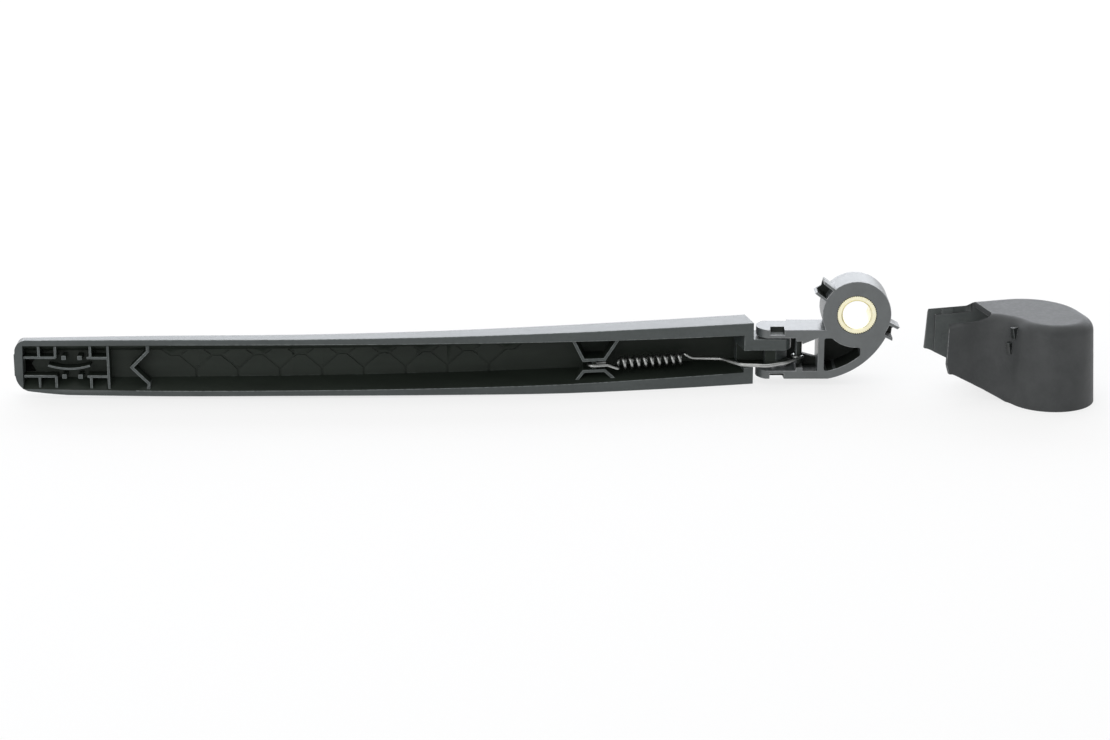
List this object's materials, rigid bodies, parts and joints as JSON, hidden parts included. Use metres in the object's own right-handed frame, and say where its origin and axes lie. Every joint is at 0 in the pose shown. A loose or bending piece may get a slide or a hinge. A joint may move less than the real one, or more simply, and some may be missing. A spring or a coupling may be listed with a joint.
{
  "type": "wiper arm",
  "caption": "Rear wiper arm: bowed plastic channel hinged on a spindle head with a hook spring, brass spindle insert and a taken-off cover cap.",
  "frame": {"origin": "middle of the spindle bore on the head's underside", "axes": "+X along the arm from blade end to spindle, +Y away from the glass, +Z across the arm"},
  "size_m": [0.404, 0.0481, 0.041],
  "materials": {
    "head_plastic": "fine moulded grain, satin black",
    "arm_plastic": "fine moulded grain, satin black",
    "cap_plastic": "fine moulded grain, satin black",
    "brass": "turned, bright",
    "spring_steel": "drawn wire, phosphated grey",
    "pin_steel": "ground"
  },
  "bodies": {
    "head": {"head": "head_plastic", "spindle_insert": "brass", "hinge_pin": "pin_steel", "cap": "cap_plastic"},
    "arm": {"arm": "arm_plastic"},
    "spring": {"tension_spring": "spring_steel"}
  },
  "joints": [
    {"name": "arm_lift", "type": "hinge", "parent": "head", "child": "arm", "pos_m": [-0.0305, 0.0064, -0.0157], "axis": [0, 0, -1], "range_deg": [0, 50], "stiffness_Nm_per_rad": 0.3, "springref_deg": -28.65},
    {"name": "hook_swing", "type": "hinge", "parent": "head", "child": "spring", "pos_m": [-0.0213, 0.0058, -0.0179], "axis": [0, 0, -1], "range_deg": [0, 45]}
  ],
  "couplings": [
    {"joint": "hook_swing", "follows": "arm_lift", "ratio": 0.8854}
  ]
}
